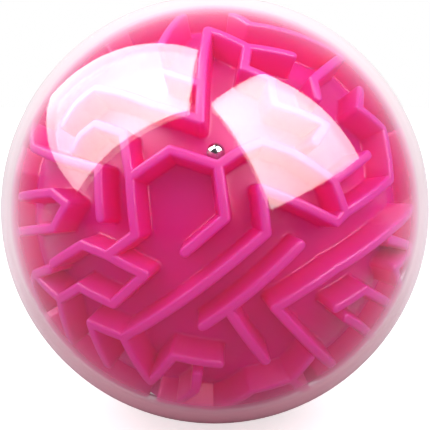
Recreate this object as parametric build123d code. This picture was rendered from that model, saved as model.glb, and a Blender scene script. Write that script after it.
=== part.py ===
from build123d import *

import math
import os
import random

# A ball maze: a steel ball rolls between the walls of a hollow moulded core, inside a clear round shell.
# Millimetres. The origin is the centre of the ball, +Z is up, and the front of the maze faces -Y.
# The shell and the core are each moulded as two halves, which meet on the plane y = 0.

# ---- driving dimensions ----
SHELL_DIAMETER = 100.0
SHELL_THICKNESS = 2.2
WALL_GAP = 0.1  # between the tops of the maze walls and the shell
WALL_HEIGHT = 5.7
WALL_WIDTH = 2.2
CORE_THICKNESS = 2.0
LAP_DEPTH = 1.5  # how far the rear halves reach into the front ones
LAP_GAP = 0.06
LAP_ROOT = 0.5  # how deep a tongue's root stands in its own half
STEEL_BALL_DIAMETER = 3.5
BALL_GAP = 0.06  # between the steel ball and the floor under it
LUG_DIAMETER = 3.2
LUG_BEARINGS = (23, 113, 203, 293)  # degrees round the joint, seen from the front
LUG_REACH = 0.7  # how far a lug stands into the shell
LUG_GAP = 0.15
POST_SPREAD = 0.02  # posts stand this much proud of the sides of the walls that they join
TRIM = 1.0  # walls and posts are made this much too high and then trimmed to a sphere
JOINT = 90  # degrees from a pole to the joint between the halves
BALL_REST = (22.4, 0.6)  # the corner of the maze where the steel ball lies, given as the corners below are

# ---- sizes that follow ----
SHELL_OUTER = SHELL_DIAMETER / 2
SHELL_INNER = SHELL_OUTER - SHELL_THICKNESS
WALL_TOP = SHELL_INNER - WALL_GAP
FLOOR = WALL_TOP - WALL_HEIGHT
CORE_INNER = FLOOR - CORE_THICKNESS
WALL_ROOT = FLOOR - CORE_THICKNESS / 2  # the walls start inside the core's skin
BALL_RADIUS = STEEL_BALL_DIAMETER / 2
BALL_CENTRE = FLOOR + BALL_GAP + BALL_RADIUS

# ---- the maze ----
# A wall is a run of corners. A corner is (degrees from the pole of its half, bearing in degrees
# clockwise from the top, seen from outside).
FRONT_WALLS = [
    # the open hexagon in the middle, and the walls that leave its corners
    [(34.5, 319), (25, 307), (18.5, 276), (26, 262), (33, 267), (45, 259)],
    [(25, 307), (24, 334), (17.9, 2.5), (6.5, 21), (7, 255)],
    [(17.9, 2.5), (22, 15), (26, 25), (28, 41), (32.5, 64), (33, 79)],
    [(32.5, 64), (46.5, 63)],
    # upper left
    [(34.5, 319), (42.5, 313), (44, 306), (43.5, 301)],
    [(29, 353), (36.5, 335), (44, 327), (52.5, 320), (53.5, 312), (52.5, 305)],
    [(44, 344), (38.5, 355)],
    [(56, 344), (71.5, 351)],
    # top
    [(29, 353), (46, 356), (59.5, 358), (52.5, 10), (55, 24)],
    [(52.5, 10), (44.5, 10), (43, 20), (36.5, 24), (40.5, 45), (34.5, 46)],
    [(70.5, 5), (64.5, 10), (67.5, 24), (72.5, 38), (50, 33), (45.5, 37)],
    # right
    [(12, 78), (16.5, 40), (21.5, 65), (30, 82), (33, 79)],
    [(33, 79), (52.5, 74), (56.5, 65), (59.5, 60), (54.5, 50), (62, 47)],
    [(65, 86), (49.5, 90), (40.5, 95), (31, 104), (25, 118), (21.5, 138), (56, 140)],
    [(49, 93), (69.5, 98), (55.5, 103), (62.5, 108)],
    [(36.5, 121), (43.5, 111), (57, 114), (67, 116)],
    [(42, 123), (51, 124), (69, 127)],
    # the two long slanting walls across the lower middle
    [(12, 78), (35, 222)],
    [(20, 92), (16, 169), (20.5, 188)],
    [(16, 169), (35, 158)],
    # bottom
    [(43.5, 143), (48.5, 153), (69, 152)],
    [(48.5, 153), (47, 167), (54.5, 175), (58.5, 180), (56.5, 189), (58.5, 197)],
    [(37, 187), (45, 187), (53, 191)],
    # lower left
    [(26, 262), (18, 245), (30, 237), (37.5, 249), (47.5, 246), (56.5, 255), (60.5, 252), (64.5, 243)],
    [(56.5, 255), (47, 257)],
    [(47.5, 246), (56.5, 231)],
    [(50.5, 218), (41, 234), (35, 222), (46.5, 203), (32, 199), (32.5, 178)],
    # left
    [(73, 297), (62, 293), (49, 295), (33.5, 301), (28, 281)],
    [(62.5, 278), (45, 284), (39, 282), (43, 272), (65.5, 267)],
]

# Hooked walls that cross the joint, so that the maze runs on from one half to the other.
CROSSING_COUNT = 8
CROSSING_PITCH = 360 / CROSSING_COUNT
CROSSING_OFFSET = 12
EDGE_BAND = 80  # degrees from a pole to the corners of these walls
FRONT_HOOK = 36  # degrees of bearing that a hook runs along its edge band
REAR_HOOK = 34
CROSSING_LEAN = 9  # degrees of bearing between a wall's corner and where it crosses the joint

# The rear half's walls follow the nodes of a triangular lattice laid over it.
LATTICE_PITCH = 12.0  # degrees
LATTICE_RINGS = 6
REAR_SEED = 30
LONGEST_RUN = 7  # corners


def crossing_walls():
    """The walls over the joint, as runs for the front half and runs for the rear half."""
    front = []
    rear = []
    for k in range(CROSSING_COUNT):
        bearing = CROSSING_OFFSET + k * CROSSING_PITCH
        joint = bearing + CROSSING_LEAN
        front.append([(EDGE_BAND, bearing - FRONT_HOOK), (EDGE_BAND, bearing), (JOINT, joint)])
        rear_bearing = -(joint + CROSSING_LEAN)
        rear.append([(JOINT, -joint), (EDGE_BAND, rear_bearing), (EDGE_BAND, rear_bearing - REAR_HOOK)])
    return front, rear


def lattice_walls():
    """Open runs that never touch each other, so that every corridor between them can be reached."""
    steps = [(1, 0), (0, 1), (-1, 1), (-1, 0), (0, -1), (1, -1)]
    chance = random.Random(REAR_SEED)
    span = range(-LATTICE_RINGS, LATTICE_RINGS + 1)
    free = {(i, j) for i in span for j in span if abs(i + j) <= LATTICE_RINGS}
    starts = sorted(free)
    chance.shuffle(starts)
    runs = []
    for start in starts:
        if start not in free:
            continue
        free.remove(start)
        run = [start]
        heading = chance.randrange(len(steps))
        for _ in range(LONGEST_RUN - 1):
            turns = [heading, heading + 1, heading - 1]
            chance.shuffle(turns)
            for turn in turns:
                step = steps[turn % len(steps)]
                node = (run[-1][0] + step[0], run[-1][1] + step[1])
                if node in free:
                    free.remove(node)
                    run.append(node)
                    heading = turn
                    break
            else:
                break
        if len(run) > 1:
            runs.append([lattice_corner(node) for node in run])
    return runs


def lattice_corner(node):
    """A lattice node as (degrees from the pole, bearing)."""
    across = LATTICE_PITCH * (node[0] + node[1] / 2)
    up = LATTICE_PITCH * node[1] * math.sqrt(3) / 2
    return math.hypot(across, up), math.degrees(math.atan2(across, up))


def direction(corner, side):
    """The unit vector of a corner; side is -1 on the front half and +1 on the rear half."""
    tilt, bearing = (math.radians(angle) for angle in corner)
    x = -side * math.sin(tilt) * math.sin(bearing)
    return Vector(x, side * math.cos(tilt), math.sin(tilt) * math.cos(bearing))


def wall(start, end):
    """One straight wall between two directions: a wedge of even thickness, flat on both sides."""
    normal = start.cross(end).normalized()
    angle = math.radians(start.get_angle(end))
    reach = WALL_TOP / math.cos(angle / 2) + TRIM
    sector = Polyline(
        (WALL_ROOT, 0),
        (reach, 0),
        (reach * math.cos(angle), reach * math.sin(angle)),
        (WALL_ROOT * math.cos(angle), WALL_ROOT * math.sin(angle)),
        close=True,
    )
    middle_plane = Plane(origin=(0, 0, 0), x_dir=start, z_dir=normal)
    return extrude(middle_plane * make_face(sector), WALL_WIDTH / 2, both=True)


def post(at):
    """The round post at a corner or an end of a wall."""
    base = Plane(origin=at * WALL_ROOT, z_dir=at)
    return Solid.make_cylinder(WALL_WIDTH / 2 + POST_SPREAD, WALL_TOP + TRIM - WALL_ROOT, plane=base)


def walls(runs, side):
    """Every wall and post of one half, each made once."""
    solids = []
    posts = {}
    for run in runs:
        points = [direction(corner, side) for corner in run]
        solids += [wall(a, b) for a, b in zip(points[:-1], points[1:])]
        for point in points:
            posts[tuple(round(value, 3) for value in point)] = point
    return solids + [post(point) for point in posts.values()]


def half_space(side):
    """A block that holds everything on one side of the joint."""
    size = 2 * SHELL_DIAMETER
    return Pos(0, side * size / 2, 0) * Box(size, size, size)


def lug_bars(inner, outer, diameter):
    """Round bars that point outwards across the joint, one at each lug's bearing."""
    bars = []
    for bearing in LUG_BEARINGS:
        outward = direction((JOINT, bearing), -1)
        base = Plane(origin=outward * inner, z_dir=outward)
        bars.append(Solid.make_cylinder(diameter / 2, outer - inner, plane=base))
    return bars


def hollow_half(body, outer, inner, side):
    """One half of a hollow ball, the front one cut back inside at the joint for the rear one's tongue."""
    middle = (outer + inner) / 2
    half = (body & half_space(side)) - Sphere(inner)
    if side < 0:
        return half - joint_disc(middle + LAP_GAP, -LAP_DEPTH - LAP_GAP, 0)
    tongue = joint_disc(middle, -LAP_DEPTH, LAP_ROOT) - joint_disc(inner + LAP_GAP, -LAP_DEPTH, LAP_ROOT)
    return half + tongue


def joint_disc(radius, y_from, y_to):
    """A disc about the Y axis."""
    plane = Plane(origin=(0, y_from, 0), z_dir=(0, 1, 0))
    return Solid.make_cylinder(radius, y_to - y_from, plane=plane)


def maze_core_half(runs, side):
    """Half of the hollow core, with its walls and its halves of the locating lugs."""
    lugs = lug_bars(WALL_ROOT, SHELL_INNER + LUG_REACH, LUG_DIAMETER)
    body = Sphere(FLOOR).fuse(*walls(runs, side)) & Sphere(WALL_TOP)
    body = body.fuse(*lugs)
    return hollow_half(body, FLOOR, CORE_INNER, side)


def shell_half(side):
    """Half of the clear shell, with pockets for the lugs."""
    pocket_reach = SHELL_INNER + LUG_REACH + LUG_GAP
    pockets = lug_bars(FLOOR, pocket_reach, LUG_DIAMETER + 2 * LUG_GAP)
    return hollow_half(Sphere(SHELL_OUTER), SHELL_OUTER, SHELL_INNER, side) - pockets


def steel_ball():
    return Pos(*(direction(BALL_REST, -1) * BALL_CENTRE)) * Sphere(BALL_RADIUS)


def main():
    os.makedirs("parts", exist_ok=True)
    front_crossing, rear_crossing = crossing_walls()
    pieces = {
        "shell_front": shell_half(-1),
        "shell_rear": shell_half(1),
        "maze_core_front": maze_core_half(FRONT_WALLS + front_crossing, -1),
        "maze_core_rear": maze_core_half(lattice_walls() + rear_crossing, 1),
        "steel_ball": steel_ball(),
    }
    for name, piece in pieces.items():
        export_step(piece, f"parts/{name}.step")
        print(name, len(piece.solids()), round(piece.volume, 1))


main()
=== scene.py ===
import math
import random

import bmesh
import bpy
import numpy as np
from mathutils import Matrix, Vector
from mathutils.geometry import delaunay_2d_cdt

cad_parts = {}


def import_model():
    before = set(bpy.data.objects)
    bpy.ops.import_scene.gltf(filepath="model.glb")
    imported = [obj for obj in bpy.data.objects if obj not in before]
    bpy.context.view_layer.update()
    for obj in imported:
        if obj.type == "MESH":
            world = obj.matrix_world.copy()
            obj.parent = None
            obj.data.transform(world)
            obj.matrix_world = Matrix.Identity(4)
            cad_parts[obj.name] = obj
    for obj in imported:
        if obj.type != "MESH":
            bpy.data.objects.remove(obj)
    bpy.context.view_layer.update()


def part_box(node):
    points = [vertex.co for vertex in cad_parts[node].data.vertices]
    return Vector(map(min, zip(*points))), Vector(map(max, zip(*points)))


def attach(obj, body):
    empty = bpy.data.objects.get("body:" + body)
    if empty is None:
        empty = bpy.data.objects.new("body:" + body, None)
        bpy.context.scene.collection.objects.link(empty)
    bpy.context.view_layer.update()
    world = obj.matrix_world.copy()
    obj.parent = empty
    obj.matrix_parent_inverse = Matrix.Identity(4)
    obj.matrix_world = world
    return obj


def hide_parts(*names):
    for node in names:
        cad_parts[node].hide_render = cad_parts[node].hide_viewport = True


MM = 0.001
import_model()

# ---- sizes, in millimetres, the same as the frame's ----
SHELL_OUTER = 50.0
SHELL_INNER = 47.8
WALL_TOP = 47.7
FLOOR = 42.0
CORE_INNER = 40.0
LAP_DEPTH = 1.5
LAP_GAP = 0.06
LUG_BEARINGS = (23, 113, 203, 293)
LUG_POCKET_RADIUS = 1.75
LUG_POCKET_TOP = 48.65
BALL_RADIUS = 1.75
JOINT = 90  # degrees from either pole
SOFT_EDGE = 0.12  # the shell's outer edge at the joint
TONGUE_STEP = 0.3  # how far the clearance round a tongue runs into its own half
LAP_STEP = 0.03  # the front core's lap ends this much inside the core's inner radius
POCKET_LENGTH = 4.0

# ---- the maze, as (degrees from the pole of its half, bearing clockwise from the top) ----
FRONT_WALLS = [
    [(34.5, 319), (25, 307), (18.5, 276), (26, 262), (33, 267), (45, 259)],
    [(25, 307), (24, 334), (17.9, 2.5), (6.5, 21), (7, 255)],
    [(17.9, 2.5), (22, 15), (26, 25), (28, 41), (32.5, 64), (33, 79)],
    [(32.5, 64), (46.5, 63)],
    [(34.5, 319), (42.5, 313), (44, 306), (43.5, 301)],
    [(29, 353), (36.5, 335), (44, 327), (52.5, 320), (53.5, 312), (52.5, 305)],
    [(44, 344), (38.5, 355)],
    [(56, 344), (71.5, 351)],
    [(29, 353), (46, 356), (59.5, 358), (52.5, 10), (55, 24)],
    [(52.5, 10), (44.5, 10), (43, 20), (36.5, 24), (40.5, 45), (34.5, 46)],
    [(70.5, 5), (64.5, 10), (67.5, 24), (72.5, 38), (50, 33), (45.5, 37)],
    [(12, 78), (16.5, 40), (21.5, 65), (30, 82), (33, 79)],
    [(33, 79), (52.5, 74), (56.5, 65), (59.5, 60), (54.5, 50), (62, 47)],
    [(65, 86), (49.5, 90), (40.5, 95), (31, 104), (25, 118), (21.5, 138), (56, 140)],
    [(49, 93), (69.5, 98), (55.5, 103), (62.5, 108)],
    [(36.5, 121), (43.5, 111), (57, 114), (67, 116)],
    [(42, 123), (51, 124), (69, 127)],
    [(12, 78), (35, 222)],
    [(20, 92), (16, 169), (20.5, 188)],
    [(16, 169), (35, 158)],
    [(43.5, 143), (48.5, 153), (69, 152)],
    [(48.5, 153), (47, 167), (54.5, 175), (58.5, 180), (56.5, 189), (58.5, 197)],
    [(37, 187), (45, 187), (53, 191)],
    [(26, 262), (18, 245), (30, 237), (37.5, 249), (47.5, 246), (56.5, 255), (60.5, 252), (64.5, 243)],
    [(56.5, 255), (47, 257)],
    [(47.5, 246), (56.5, 231)],
    [(50.5, 218), (41, 234), (35, 222), (46.5, 203), (32, 199), (32.5, 178)],
    [(73, 297), (62, 293), (49, 295), (33.5, 301), (28, 281)],
    [(62.5, 278), (45, 284), (39, 282), (43, 272), (65.5, 267)],
]
CROSSING_COUNT = 8
CROSSING_PITCH = 360 / CROSSING_COUNT
CROSSING_OFFSET = 12
EDGE_BAND = 80
FRONT_HOOK = 36
REAR_HOOK = 34
CROSSING_LEAN = 9
LATTICE_PITCH = 12.0
LATTICE_RINGS = 6
REAR_SEED = 30
LONGEST_RUN = 7

# The sections of a wall and of a lug from the middle outwards: (distance from the middle, radius). The top
# edge is rounded and the foot is filleted.
WALL_PROFILE = [
    (0.40, 47.70), (0.66, 47.65), (0.86, 47.52), (0.99, 47.30), (1.05, 47.00),
    (1.20, 42.60), (1.28, 42.28), (1.44, 42.08), (1.72, 42.00),
]
LUG_PROFILE = [(1.35, 48.50), (1.60, 48.25), (1.60, 42.45), (1.75, 42.12), (2.05, 42.00)]

# ---- how finely the meshes are made; steps are in degrees ----
WALL_STEP = 1.6
WALL_END_POINTS = 7
LUG_POINTS = 20
RIM_POINTS = 240
FLOOR_STEP = 2.5
FLOOR_LAST = 88.5  # no floor point is further than this from the pole
FLOOR_CLEARANCE = 1.15  # how far floor points stay from a wall, as a share of the wall's foot
INSIDE_STEP = 6
RIM_SNAP = 4e-4  # points of the flat map this close to the unit circle are moved onto it
POINT_MERGE = 1e-5  # points of the flat map this close together become one
MERIDIAN_POINTS = 56
SHELL_SEGMENTS = 160
POCKET_SEGMENTS = 24
BALL_SUBDIVISIONS = 5
CREASE = 30
CORE_CREASE = 40


def crossing_walls():
    """The walls over the joint, as runs for the front half and runs for the rear half."""
    front = []
    rear = []
    for k in range(CROSSING_COUNT):
        bearing = CROSSING_OFFSET + k * CROSSING_PITCH
        joint = bearing + CROSSING_LEAN
        front.append([(EDGE_BAND, bearing - FRONT_HOOK), (EDGE_BAND, bearing), (JOINT, joint)])
        rear_bearing = -(joint + CROSSING_LEAN)
        rear.append([(JOINT, -joint), (EDGE_BAND, rear_bearing), (EDGE_BAND, rear_bearing - REAR_HOOK)])
    return front, rear


def lattice_walls():
    """Open runs on a triangular lattice that never touch each other."""
    steps = [(1, 0), (0, 1), (-1, 1), (-1, 0), (0, -1), (1, -1)]
    chance = random.Random(REAR_SEED)
    span = range(-LATTICE_RINGS, LATTICE_RINGS + 1)
    free = {(i, j) for i in span for j in span if abs(i + j) <= LATTICE_RINGS}
    starts = sorted(free)
    chance.shuffle(starts)
    runs = []
    for start in starts:
        if start not in free:
            continue
        free.remove(start)
        run = [start]
        heading = chance.randrange(len(steps))
        for _ in range(LONGEST_RUN - 1):
            turns = [heading, heading + 1, heading - 1]
            chance.shuffle(turns)
            for turn in turns:
                step = steps[turn % len(steps)]
                node = (run[-1][0] + step[0], run[-1][1] + step[1])
                if node in free:
                    free.remove(node)
                    run.append(node)
                    heading = turn
                    break
            else:
                break
        if len(run) > 1:
            runs.append([lattice_corner(node) for node in run])
    return runs


def lattice_corner(node):
    across = LATTICE_PITCH * (node[0] + node[1] / 2)
    up = LATTICE_PITCH * node[1] * math.sqrt(3) / 2
    return math.hypot(across, up), math.degrees(math.atan2(across, up))


# ---- directions in one half's own frame: x across, y up, z towards its pole, seen from outside ----
def direction(corner):
    tilt, bearing = (math.radians(angle) for angle in corner)
    return np.array([math.sin(tilt) * math.sin(bearing), math.sin(tilt) * math.cos(bearing), math.cos(tilt)])


def flatten(directions):
    """Stereographic map of unit vectors; the joint lands on the unit circle."""
    return directions[:, :2] / (1 + directions[:, 2:3])


def unflatten(points):
    square = (points**2).sum(1, keepdims=True)
    return np.hstack([2 * points, 1 - square]) / (1 + square)


def across_joint(corners):
    """The other half's corners, seen from this half."""
    return [(180 - tilt, -bearing) for tilt, bearing in corners]


def lean(ray, towards, angle):
    """A unit vector turned by an angle towards another at a right angle to it."""
    return ray * math.cos(angle) + towards * math.sin(angle)


def outline(start, end, spread):
    """The closed line that stays a given angle away from the arc between two directions."""
    normal = np.cross(start, end)
    normal /= np.linalg.norm(normal)
    angle = math.acos(np.clip(start @ end, -1, 1))
    count = max(2, int(angle / math.radians(WALL_STEP)) + 1)
    arc = [lean(start, np.cross(normal, start), t) for t in np.linspace(0, angle, count)]
    one_side = [lean(p, -normal, spread) for p in arc]
    other_side = [lean(p, normal, spread) for p in reversed(arc)]
    turns = np.linspace(0, math.pi, WALL_END_POINTS)[1:-1]
    end_cap = [lean(end, lean(-normal, np.cross(normal, end), t), spread) for t in turns]
    start_cap = [lean(start, lean(normal, np.cross(start, normal), t), spread) for t in turns]
    return np.array(one_side + end_cap + other_side + start_cap)


def circle(centre, spread):
    """The closed line that stays a given angle away from one direction."""
    side = np.cross(centre, [0, 0, 1])
    side /= np.linalg.norm(side)
    other = np.cross(centre, side)
    turns = np.linspace(0, 2 * math.pi, LUG_POINTS, endpoint=False)
    return np.array([lean(centre, lean(side, other, t), spread) for t in turns])


def distance_to_walls(directions, arcs):
    nearest = np.full(len(directions), math.pi)
    for start, end in arcs:
        normal = np.cross(start, end)
        normal /= np.linalg.norm(normal)
        beside = np.abs(np.arcsin(np.clip(directions @ normal, -1, 1)))
        within = (directions @ np.cross(normal, start) >= 0) & (directions @ np.cross(end, normal) >= 0)
        ends = np.arccos(np.clip(np.maximum(directions @ start, directions @ end), -1, 1))
        nearest = np.minimum(nearest, np.where(within, beside, ends))
    return nearest


def distance_to_lugs(directions):
    lugs = np.array([direction((JOINT, bearing)) for bearing in LUG_BEARINGS])
    return np.arccos(np.clip((directions @ lugs.T).max(1), -1, 1))


def spreads(profile):
    return [distance / radius for distance, radius in profile]


def surface_radius(directions, arcs):
    """How far out the core's surface lies in each direction."""
    wall_radii = [radius for _, radius in WALL_PROFILE]
    lug_radii = [radius for _, radius in LUG_PROFILE]
    walls = np.interp(distance_to_walls(directions, arcs), spreads(WALL_PROFILE), wall_radii)
    lugs = np.interp(distance_to_lugs(directions), spreads(LUG_PROFILE), lug_radii)
    return np.maximum(walls, lugs)


def ring_points(step, last):
    """Directions spread evenly over the half, in rings round its pole."""
    points = [np.array([0.0, 0.0, 1.0])]
    for tilt in np.arange(step, last, step):
        count = max(6, int(360 * math.sin(math.radians(tilt)) / step))
        points += [direction((tilt, 360 * k / count)) for k in range(count)]
    return np.array(points)


def triangulate(loops, loose):
    """Triangles over the half whose edges follow the given closed lines."""
    points = []
    edges = []
    for loop in loops:
        first = len(points)
        points += [tuple(p) for p in loop]
        edges += [(first + k, first + (k + 1) % len(loop)) for k in range(len(loop))]
    points += [tuple(p) for p in loose]
    made = delaunay_2d_cdt([Vector(p) for p in points], edges, [], 0, POINT_MERGE)
    return np.array([tuple(v) for v in made[0]]), made[2]


def to_row(directions, radii, side):
    """A half's own directions as points of the row, in metres; side is -1 in front and +1 behind."""
    x, y, z = (directions * np.asarray(radii)[:, None] * MM).T
    return np.stack([-side * x, side * z, y], 1)


def maze_core(name, runs, guests, side):
    """Half of the core. guests are the other half's walls that reach the joint."""
    arcs = [(direction(a), direction(b)) for run in runs + guests for a, b in zip(run[:-1], run[1:])]
    loops = [flatten(outline(a, b, spread)) for a, b in arcs for spread in spreads(WALL_PROFILE)]
    for bearing in LUG_BEARINGS:
        centre = direction((JOINT, bearing))
        loops += [flatten(circle(centre, spread)) for spread in spreads(LUG_PROFILE)]
    rim = np.array([direction((JOINT, 360 * k / RIM_POINTS)) for k in range(RIM_POINTS)])
    loops.append(flatten(rim))
    loose = ring_points(FLOOR_STEP, FLOOR_LAST)
    loose = loose[distance_to_walls(loose, arcs) > spreads(WALL_PROFILE)[-1] * FLOOR_CLEARANCE]
    flat, faces = triangulate(loops, flatten(loose))
    size = np.hypot(*flat.T)
    on_rim = abs(size - 1) < RIM_SNAP
    flat[on_rim] /= size[on_rim][:, None]
    directions = unflatten(flat)
    places = to_row(directions, surface_radius(directions, arcs), side)
    mesh = bmesh.new()
    verts = [mesh.verts.new(p) for p in places]
    for face in faces:
        if np.hypot(*flat[list(face)].mean(0)) < 1:
            mesh.faces.new([verts[i] for i in face])
    bmesh.ops.delete(mesh, geom=[v for v in mesh.verts if not v.link_faces], context="VERTS")
    close_inside(mesh, side)
    bmesh.ops.recalc_face_normals(mesh, faces=mesh.faces)
    return finish_mesh(name, mesh, CORE_CREASE)


def close_inside(mesh, side):
    """Carries the open edge at the joint through the lap and over the inside of the core."""
    middle = (FLOOR + CORE_INNER) / 2
    if side < 0:
        lap_radius = middle + LAP_GAP
        lap_y = -LAP_DEPTH - LAP_GAP
        steps = [(lap_radius, 0), (lap_radius, lap_y), (CORE_INNER - LAP_STEP, lap_y)]
    else:
        tongue = CORE_INNER + LAP_GAP
        steps = [(middle, 0), (middle, -LAP_DEPTH), (tongue, -LAP_DEPTH), (tongue, TONGUE_STEP)]
    open_edges = [e for e in mesh.edges if e.is_boundary]
    verts = sorted({v for e in open_edges for v in e.verts}, key=lambda v: math.atan2(v.co.z, v.co.x))
    angles = [math.atan2(v.co.z, v.co.x) for v in verts]
    last = verts
    for radius, y in steps:
        ring = [mesh.verts.new(hoop_point(radius, y, a)) for a in angles]
        for k in range(len(ring)):
            n = (k + 1) % len(ring)
            mesh.faces.new((last[k], last[n], ring[n], ring[k]))
        last = ring
    tilt = math.degrees(math.acos(side * last[0].co.y / last[0].co.length))
    edge = np.array([(-side * v.co.x, v.co.z, side * v.co.y) for v in last])
    edge /= np.linalg.norm(edge, axis=1, keepdims=True)
    flat, faces = triangulate([flatten(edge)], flatten(ring_points(INSIDE_STEP, tilt - INSIDE_STEP / 2)))
    places = to_row(unflatten(flat), np.full(len(flat), CORE_INNER), side)
    inner = last + [mesh.verts.new(p) for p in places[len(last):]]
    for face in faces:
        mesh.faces.new([inner[i] for i in face])


def hoop_point(radius, y, angle):
    """A point on a circle about the Y axis, in metres."""
    return (radius * MM * math.cos(angle), y * MM, radius * MM * math.sin(angle))


def finish_mesh(name, mesh, crease=CREASE):
    """Turns a bmesh into an object, smooth except over edges sharper than the crease in degrees."""
    data = bpy.data.meshes.new(name)
    mesh.to_mesh(data)
    mesh.free()
    data.shade_smooth()
    data.set_sharp_from_angle(angle=math.radians(crease))
    piece = bpy.data.objects.new(name, data)
    bpy.context.scene.collection.objects.link(piece)
    return piece


def lathe(name, profile):
    """A closed body turned about the Y axis from (radius, y) points that start and end on the axis."""
    mesh = bmesh.new()
    angles = [2 * math.pi * k / SHELL_SEGMENTS for k in range(SHELL_SEGMENTS)]
    rings = []
    for radius, y in profile:
        if radius == 0:
            rings.append([mesh.verts.new((0, y * MM, 0))])
        else:
            rings.append([mesh.verts.new(hoop_point(radius, y, angle)) for angle in angles])
    for a, b in zip(rings[:-1], rings[1:]):
        for k in range(SHELL_SEGMENTS):
            n = (k + 1) % SHELL_SEGMENTS
            if len(a) == 1:
                mesh.faces.new((a[0], b[k], b[n]))
            elif len(b) == 1:
                mesh.faces.new((a[k], b[0], a[n]))
            else:
                mesh.faces.new((a[k], b[k], b[n], a[n]))
    bmesh.ops.recalc_face_normals(mesh, faces=mesh.faces)
    return finish_mesh(name, mesh)


def meridian(radius, from_y, side):
    """(radius, y) points along a sphere from a height over the joint to the pole of one half."""
    angles = np.linspace(math.asin(abs(from_y) / radius), math.pi / 2, MERIDIAN_POINTS)
    points = [(radius * math.cos(a), side * radius * math.sin(a)) for a in angles]
    return points[:-1] + [(0, side * radius)]


def shell_half(name, side):
    """Half of the clear shell, with its half of the lap joint and a softened outer edge at the joint."""
    middle = (SHELL_OUTER + SHELL_INNER) / 2
    outer = meridian(SHELL_OUTER, SOFT_EDGE, side)
    outer.reverse()
    outer.append((SHELL_OUTER - SOFT_EDGE, 0))
    if side < 0:
        lap = [(middle + LAP_GAP, 0), (middle + LAP_GAP, -LAP_DEPTH - LAP_GAP)]
        inner = meridian(SHELL_INNER, LAP_DEPTH + LAP_GAP, side)
    else:
        tongue = SHELL_INNER + LAP_GAP
        lap = [(middle, 0), (middle, -LAP_DEPTH), (tongue, -LAP_DEPTH), (tongue, TONGUE_STEP)]
        inner = meridian(SHELL_INNER, TONGUE_STEP, side)
    piece = lathe(name, outer + lap + inner)
    cut_lug_pockets(piece)
    return piece


def cut_lug_pockets(shell):
    """Sinks a round pocket into the shell for each locating lug of the core."""
    mesh = bmesh.new()
    for bearing in LUG_BEARINGS:
        outward = Vector(to_row(direction((JOINT, bearing))[None], [1 / MM], -1)[0])
        place = Matrix.Translation(outward * (LUG_POCKET_TOP - POCKET_LENGTH / 2) * MM)
        turn = outward.to_track_quat("Z", "Y").to_matrix().to_4x4()
        bmesh.ops.create_cone(
            mesh,
            cap_ends=True,
            segments=POCKET_SEGMENTS,
            radius1=LUG_POCKET_RADIUS * MM,
            radius2=LUG_POCKET_RADIUS * MM,
            depth=POCKET_LENGTH * MM,
            matrix=place @ turn,
        )
    cutter = finish_mesh("pocket_cutter", mesh)
    boolean = shell.modifiers.new("pockets", "BOOLEAN")
    boolean.operation = "DIFFERENCE"
    boolean.solver = "EXACT"
    boolean.object = cutter
    graph = bpy.context.evaluated_depsgraph_get()
    whole = shell.data
    shell.data = bpy.data.meshes.new_from_object(shell.evaluated_get(graph))
    shell.modifiers.clear()
    bpy.data.meshes.remove(whole)
    bpy.data.objects.remove(cutter)
    shell.data.shade_smooth()
    shell.data.set_sharp_from_angle(angle=math.radians(CREASE))


def steel_ball():
    low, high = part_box("steel_ball")
    centre = (Vector(low) + Vector(high)) / 2
    mesh = bmesh.new()
    bmesh.ops.create_icosphere(mesh, subdivisions=BALL_SUBDIVISIONS, radius=BALL_RADIUS * MM)
    bmesh.ops.translate(mesh, vec=centre, verts=mesh.verts)
    return finish_mesh("polished_ball", mesh)


# ---- materials; roughness is a span, and a bump is its strength and its depth in metres ----
# The pink plastic's colour over the height of a wall, with a painted sheen paling the tops and painted shade
# deepening the floor and lower walls: (share of the height, colour).
PINK_PAINTED_SHEEN_AND_SHADE = [
    (0.0, (0.84, 0.010, 0.27)),
    (0.12, (0.88, 0.010, 0.23)),
    (0.75, (0.89, 0.013, 0.30)),
    (0.96, (0.92, 0.034, 0.38)),
    (1.0, (0.94, 0.052, 0.43)),
]
PINK_SCATTER = 0.55
PINK_SCATTER_RADIUS = (0.006, 0.0008, 0.0022)
PINK_IOR = 1.5
PINK_SPECULAR = 0.22
PINK_ROUGHNESS = (0.30, 0.42)
PINK_BUMP = (0.05, 0.0001)
GRAIN_SCALE = 900
GRAIN_DETAIL = 3
SHELL_TINT = (0.985, 0.98, 0.98, 1)
SHELL_ROUGHNESS = (0.03, 0.07)
SHELL_BUMP = (0.5, 0.0001)
SMUDGE_SCALE = 45
SMUDGE_DETAIL = 4
SHELL_MIRROR = 0.05  # how much the shell mirrors seen straight on
EDGE_MIRROR = 0.65  # and edge-on
GRAZING_POWER = 5.0
INSIDE_SHARE = 0.35  # of that, on the inner faces
# The shell is painted milkier the more edge-on it is seen, a painted stand-in for the bright room seen bent
# through its edge, with a painted pink glow of the core where it is less edge-on: (how edge-on, share of
# milk).
RIM_PAINTED_SHARE = [(0.10, 0.0), (0.40, 0.05), (0.50, 0.08), (0.585, 0.18), (0.66, 0.54), (0.72, 0.84), (0.80, 0.93)]
RIM_PAINTED_COLOURS = [(0.40, (0.80, 0.20, 0.68)), (0.585, (0.90, 0.55, 0.74)), (0.72, (0.93, 0.82, 0.83))]
STEEL = (0.50, 0.50, 0.53, 1)
STEEL_ROUGHNESS = (0.09, 0.14)
STEEL_BUMP = (0.1, 0.00001)
SCRATCH_SCALE = 2500
SCRATCH_DETAIL = 2


def new_material(name):
    material = bpy.data.materials.new(name)
    material.use_nodes = True
    tree = material.node_tree
    tree.nodes.clear()
    output = tree.nodes.new("ShaderNodeOutputMaterial")
    return material, tree, output


def add(tree, kind, **settings):
    node = tree.nodes.new(kind)
    for key, value in settings.items():
        setattr(node, key, value)
    return node


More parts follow.
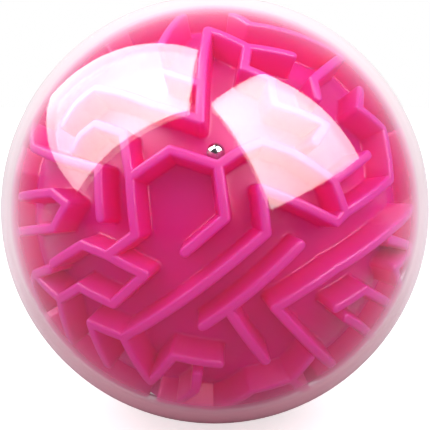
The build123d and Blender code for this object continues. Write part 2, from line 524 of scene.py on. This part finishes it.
def ramp(tree, factor, stops):
    node = add(tree, "ShaderNodeValToRGB")
    tree.links.new(factor, node.inputs["Fac"])
    while len(node.color_ramp.elements) > 1:
        node.color_ramp.elements.remove(node.color_ramp.elements[0])
    node.color_ramp.elements[0].position = stops[0][0]
    node.color_ramp.elements[0].color = (*stops[0][1], 1)
    for position, colour in stops[1:]:
        node.color_ramp.elements.new(position).color = (*colour, 1)
    return node.outputs["Color"]


def greys(stops):
    """Ramp stops for plain shares."""
    return [(place, (share,) * 3) for place, share in stops]


def noise(tree, place, scale, detail):
    node = add(tree, "ShaderNodeTexNoise")
    node.inputs["Scale"].default_value = scale
    node.inputs["Detail"].default_value = detail
    tree.links.new(place, node.inputs["Vector"])
    return node.outputs["Fac"]


def map_range(tree, value, inside, outside=(0, 1), **settings):
    """Carries a value from the span inside to the span outside."""
    node = add(tree, "ShaderNodeMapRange", **settings)
    node.inputs["From Min"].default_value = inside[0]
    node.inputs["From Max"].default_value = inside[1]
    node.inputs["To Min"].default_value = outside[0]
    node.inputs["To Max"].default_value = outside[1]
    tree.links.new(value, node.inputs["Value"])
    return node.outputs["Result"]


def vector_length(tree, place):
    node = add(tree, "ShaderNodeVectorMath", operation="LENGTH")
    tree.links.new(place, node.inputs[0])
    return node.outputs["Value"]


def texture_surface(tree, shader, pattern, roughness, bump):
    """Gives a shader its roughness and its bump from one noise pattern."""
    tree.links.new(map_range(tree, pattern, (0, 1), roughness), shader.inputs["Roughness"])
    relief = add(tree, "ShaderNodeBump")
    relief.inputs["Strength"].default_value = bump[0]
    relief.inputs["Distance"].default_value = bump[1]
    tree.links.new(pattern, relief.inputs["Height"])
    tree.links.new(relief.outputs["Normal"], shader.inputs["Normal"])


def pink_plastic():
    """Translucent pink plastic, with painted shade deepening the floor and the lower walls and a painted
    sheen paling their tops.
    """
    material, tree, output = new_material("pink_core_plastic")
    shader = add(tree, "ShaderNodeBsdfPrincipled")
    place = add(tree, "ShaderNodeTexCoord").outputs["Object"]
    # Painted sheen and shade: the colour follows the distance from the centre, paler at the wall tops and
    # deeper at the floor.
    height = map_range(tree, vector_length(tree, place), (FLOOR * MM, WALL_TOP * MM))
    tree.links.new(ramp(tree, height, PINK_PAINTED_SHEEN_AND_SHADE), shader.inputs["Base Color"])
    shader.inputs["Subsurface Weight"].default_value = PINK_SCATTER
    shader.inputs["Subsurface Radius"].default_value = PINK_SCATTER_RADIUS
    shader.inputs["Subsurface Scale"].default_value = 1.0
    shader.inputs["IOR"].default_value = PINK_IOR
    shader.inputs["Specular IOR Level"].default_value = PINK_SPECULAR
    texture_surface(tree, shader, noise(tree, place, GRAIN_SCALE, GRAIN_DETAIL), PINK_ROUGHNESS, PINK_BUMP)
    tree.links.new(shader.outputs["BSDF"], output.inputs["Surface"])
    return material


def math_node(tree, operation, first, second):
    """A Math node; each input is a number or another node's output."""
    node = add(tree, "ShaderNodeMath", operation=operation, use_clamp=True)
    for socket, value in zip(node.inputs, (first, second)):
        if isinstance(value, (int, float)):
            socket.default_value = value
        else:
            tree.links.new(value, socket)
    return node.outputs[0]


def mix_shaders(tree, share, first, second):
    node = add(tree, "ShaderNodeMixShader")
    tree.links.new(share, node.inputs["Fac"])
    tree.links.new(first, node.inputs[1])
    tree.links.new(second, node.inputs[2])
    return node.outputs["Shader"]


def clear_plastic():
    """Clear glossy shell: it mirrors more towards its edge, lets the rest through, has faint smudges, and
    carries a painted rim light towards its edge.
    """
    material, tree, output = new_material("clear_shell_plastic")
    place = add(tree, "ShaderNodeTexCoord").outputs["Object"]
    gloss = add(tree, "ShaderNodeBsdfGlossy")
    texture_surface(tree, gloss, noise(tree, place, SMUDGE_SCALE, SMUDGE_DETAIL), SHELL_ROUGHNESS, SHELL_BUMP)
    through = add(tree, "ShaderNodeBsdfTransparent")
    through.inputs["Color"].default_value = SHELL_TINT
    weight = add(tree, "ShaderNodeLayerWeight")
    weight.inputs["Blend"].default_value = 0.5
    facing = weight.outputs["Facing"]
    grazing = math_node(tree, "POWER", facing, GRAZING_POWER)
    extra = math_node(tree, "MULTIPLY", grazing, EDGE_MIRROR - SHELL_MIRROR)
    mirror = math_node(tree, "ADD", extra, SHELL_MIRROR)
    middle = (SHELL_OUTER + SHELL_INNER) / 2 * MM
    outside = math_node(tree, "GREATER_THAN", vector_length(tree, place), middle)
    strength = math_node(tree, "ADD", math_node(tree, "MULTIPLY", outside, 1 - INSIDE_SHARE), INSIDE_SHARE)
    # Painted rim light: a diffuse veil, whiter the more edge-on the shell is seen, stands in for the bright
    # room seen bent through the shell's edge, and its pinker colour less edge-on is a painted glow of the
    # core.
    painted_rim = add(tree, "ShaderNodeBsdfDiffuse")
    tree.links.new(ramp(tree, facing, RIM_PAINTED_COLOURS), painted_rim.inputs["Color"])
    painted_rim_share = math_node(tree, "MULTIPLY", ramp(tree, facing, greys(RIM_PAINTED_SHARE)), outside)
    through_with_painted_rim = mix_shaders(tree, painted_rim_share, through.outputs["BSDF"], painted_rim.outputs["BSDF"])
    shine = math_node(tree, "MULTIPLY", mirror, strength)
    surface = mix_shaders(tree, shine, through_with_painted_rim, gloss.outputs["BSDF"])
    tree.links.new(surface, output.inputs["Surface"])
    return material


def polished_steel():
    """Polished steel with fine scratches."""
    material, tree, output = new_material("polished_bearing_steel")
    shader = add(tree, "ShaderNodeBsdfPrincipled")
    shader.inputs["Metallic"].default_value = 1.0
    shader.inputs["Base Color"].default_value = STEEL
    place = add(tree, "ShaderNodeTexCoord").outputs["Object"]
    scratches = noise(tree, place, SCRATCH_SCALE, SCRATCH_DETAIL)
    texture_surface(tree, shader, scratches, STEEL_ROUGHNESS, STEEL_BUMP)
    tree.links.new(shader.outputs["BSDF"], output.inputs["Surface"])
    return material


# ---- studio; lengths are in metres ----
CAMERA_DISTANCE = 4 * SHELL_OUTER * MM
CAMERA_ELEVATION = math.radians(8)
CAMERA_SENSOR = 36
CAMERA_LENS = 69.45
CAMERA_SHIFT = (0.0005, -0.013)
CAMERA_CLIP = 0.01
FLOOR_HALF = 4.0
FLOOR_COLOUR = (0.8, 0.8, 0.8, 1)
FLOOR_GLOW = 0.62
FLOOR_BOUNCE = (0.42, 0.42, 0.42, 1)
FLOOR_PAINTED_PINK_GLOW = (0.46, 0.13, 0.21, 1)  # painted pink glow on the floor beside the object, standing in for the pink light the core throws on it
PAINTED_PINK_GLOW_REACH = (0.07, 0.22)  # where the painted pink glow starts to fade, and where it ends
# What the shell mirrors of the floor, over a stretch from in front of the object to just behind it.
MIRROR_STRETCH = (-0.6, 0.1)
FLOOR_IN_MIRROR = [(0.0, 0.07), (0.70, 0.22), (0.80, 0.30), (0.95, 0.90)]
FILL_LIGHT = 0.98
# What the shell mirrors of the room: how bright it is in front and behind, and where one turns to the other.
ROOM_LIGHT = (0.10, 1.0)
ROOM_TURN = (0.3, 0.85)
LEFT_PANEL = [(-0.78, 0.67, 0.45), (-0.10, 0.06, 0.96), (-0.20, -0.53, 0.84), (-1.03, -0.33, 0.18)]
RIGHT_PANEL = [(-0.03, -0.50, 0.86), (0.32, -0.14, 0.94), (0.98, -0.12, 0.37), (0.50, -0.97, 0.13)]
LEFT_STRENGTH = 15.2
RIGHT_STRENGTH = 15.8
PANEL_COLOUR = (1.0, 0.99, 0.97, 1)
PANEL_FALL = 0.50  # how bright a panel's low edge is beside its top
PANEL_FULL = 0.70  # the share of its height at which it is fully bright
LAMP_X = 0.55
LAMP_Y = -0.25
LAMP_Z = 0.75
LAMP_SIZE = 0.6
LAMP_POWER = 3.0
LAMP_COLOUR = (0.91, 0.81, 1.0)


def camera():
    data = bpy.data.cameras.new("camera")
    data.sensor_width = CAMERA_SENSOR
    data.lens = CAMERA_LENS
    data.shift_x, data.shift_y = CAMERA_SHIFT
    data.clip_start = CAMERA_CLIP
    eye = bpy.data.objects.new("camera", data)
    bpy.context.scene.collection.objects.link(eye)
    back = Vector((0, -math.cos(CAMERA_ELEVATION), math.sin(CAMERA_ELEVATION)))
    eye.location = back * CAMERA_DISTANCE
    eye.rotation_euler = back.to_track_quat("Z", "Y").to_euler()
    bpy.context.scene.camera = eye


def split_axes(tree, place):
    node = add(tree, "ShaderNodeSeparateXYZ")
    tree.links.new(place, node.inputs[0])
    return node.outputs


def choose_colour(tree, factor, first, second):
    """A mix of two colours; each is a fixed colour or another node's output."""
    node = add(tree, "ShaderNodeMix", data_type="RGBA")
    tree.links.new(factor, node.inputs["Factor"])
    for socket, value in zip((node.inputs["A"], node.inputs["B"]), (first, second)):
        if isinstance(value, tuple):
            socket.default_value = value
        else:
            tree.links.new(value, socket)
    return node.outputs["Result"]


def floor():
    """A white floor, brighter to the eye than to the object, so that it throws little light upwards, with a
    painted pink glow near the object that the camera doesn't see.
    """
    mesh = bmesh.new()
    bmesh.ops.create_grid(mesh, x_segments=1, y_segments=1, size=FLOOR_HALF)
    bmesh.ops.translate(mesh, vec=(0, 0, -SHELL_OUTER * MM), verts=mesh.verts)
    piece = finish_mesh("floor", mesh)
    material, tree, output = new_material("pale_floor")
    path = add(tree, "ShaderNodeLightPath")
    white = add(tree, "ShaderNodeBsdfDiffuse")
    white.inputs["Color"].default_value = FLOOR_COLOUR
    glow = add(tree, "ShaderNodeEmission")
    glow.inputs["Strength"].default_value = FLOOR_GLOW
    bright = add(tree, "ShaderNodeAddShader")
    tree.links.new(white.outputs["BSDF"], bright.inputs[0])
    tree.links.new(glow.outputs["Emission"], bright.inputs[1])
    place = add(tree, "ShaderNodeTexCoord").outputs["Object"]
    # Painted pink glow: for the object's own rays the floor turns pink near it, standing in for the pink
    # light the core throws on the floor.
    away = map_range(tree, vector_length(tree, place), PAINTED_PINK_GLOW_REACH, interpolation_type="SMOOTHSTEP")
    bounce = choose_colour(tree, away, FLOOR_PAINTED_PINK_GLOW, FLOOR_BOUNCE)
    depth = map_range(tree, split_axes(tree, place)["Y"], MIRROR_STRETCH)
    mirrored = ramp(tree, depth, greys(FLOOR_IN_MIRROR))
    dim = add(tree, "ShaderNodeBsdfDiffuse")
    shade = choose_colour(tree, path.outputs["Is Glossy Ray"], bounce, mirrored)
    tree.links.new(shade, dim.inputs["Color"])
    surface = mix_shaders(tree, path.outputs["Is Camera Ray"], dim.outputs["BSDF"], bright.outputs["Shader"])
    tree.links.new(surface, output.inputs["Surface"])
    piece.data.materials.append(material)


def world():
    """White to the eye; to the object it is bright behind it and dark in front."""
    scene_world = bpy.data.worlds.new("studio")
    scene_world.use_nodes = True
    tree = scene_world.node_tree
    background = tree.nodes["Background"]
    across = split_axes(tree, add(tree, "ShaderNodeTexCoord").outputs["Generated"])["Y"]
    room = map_range(tree, across, ROOM_TURN, ROOM_LIGHT, interpolation_type="SMOOTHSTEP")
    path = add(tree, "ShaderNodeLightPath")
    lighting = add(tree, "ShaderNodeMix", data_type="FLOAT")
    tree.links.new(path.outputs["Is Glossy Ray"], lighting.inputs[0])
    lighting.inputs[2].default_value = FILL_LIGHT
    tree.links.new(room, lighting.inputs[3])
    strength = add(tree, "ShaderNodeMix", data_type="FLOAT")
    tree.links.new(path.outputs["Is Camera Ray"], strength.inputs[0])
    tree.links.new(lighting.outputs[0], strength.inputs[2])
    strength.inputs[3].default_value = 1.0
    tree.links.new(strength.outputs[0], background.inputs["Strength"])
    background.inputs["Color"].default_value = (1, 1, 1, 1)
    bpy.context.scene.world = scene_world


def softbox(name, corners, strength):
    """A glowing panel that only shows in reflections."""
    mesh = bmesh.new()
    mesh.faces.new([mesh.verts.new(corner) for corner in corners])
    piece = finish_mesh(name, mesh)
    material, tree, output = new_material(name)
    glow = add(tree, "ShaderNodeEmission")
    glow.inputs["Color"].default_value = PANEL_COLOUR
    height = split_axes(tree, add(tree, "ShaderNodeTexCoord").outputs["Generated"])["Z"]
    fall = map_range(tree, height, (0, PANEL_FULL), (strength * PANEL_FALL, strength))
    tree.links.new(fall, glow.inputs["Strength"])
    tree.links.new(glow.outputs["Emission"], output.inputs["Surface"])
    piece.data.materials.append(material)
    piece.visible_camera = False
    piece.visible_diffuse = False
    piece.visible_shadow = False
    piece.visible_transmission = False


def area_light(name, location):
    """A soft lamp that faces the object and shows in no reflection."""
    data = bpy.data.lights.new(name, "AREA")
    data.size = LAMP_SIZE
    data.energy = LAMP_POWER
    data.color = LAMP_COLOUR
    lamp = bpy.data.objects.new(name, data)
    bpy.context.scene.collection.objects.link(lamp)
    lamp.location = location
    lamp.rotation_euler = Vector(location).to_track_quat("Z", "Y").to_euler()
    lamp.visible_glossy = False


def main():
    scene = bpy.context.scene
    scene.view_settings.view_transform = "Standard"
    camera()
    world()
    floor()
    front_crossing, rear_crossing = crossing_walls()
    front_runs = FRONT_WALLS + front_crossing
    rear_runs = lattice_walls() + rear_crossing
    rear_guests = [across_joint(run) for run in rear_crossing]
    front_guests = [across_joint(run) for run in front_crossing]
    pink = pink_plastic()
    clear = clear_plastic()
    pieces = [
        (maze_core("maze_front", front_runs, rear_guests, -1), "maze_core_front", pink),
        (maze_core("maze_rear", rear_runs, front_guests, 1), "maze_core_rear", pink),
        (shell_half("clear_front", -1), "shell_front", clear),
        (shell_half("clear_rear", 1), "shell_rear", clear),
    ]
    for piece, node, material in pieces:
        piece.data.materials.append(material)
        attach(piece, "maze_body")
        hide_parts(node)
    ball = steel_ball()
    ball.data.materials.append(polished_steel())
    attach(ball, "rolling_ball")
    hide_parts("steel_ball")
    softbox("softbox_left", LEFT_PANEL, LEFT_STRENGTH)
    softbox("softbox_right", RIGHT_PANEL, RIGHT_STRENGTH)
    area_light("left_light", (-LAMP_X, LAMP_Y, LAMP_Z))
    area_light("right_light", (LAMP_X, LAMP_Y, LAMP_Z))


main()
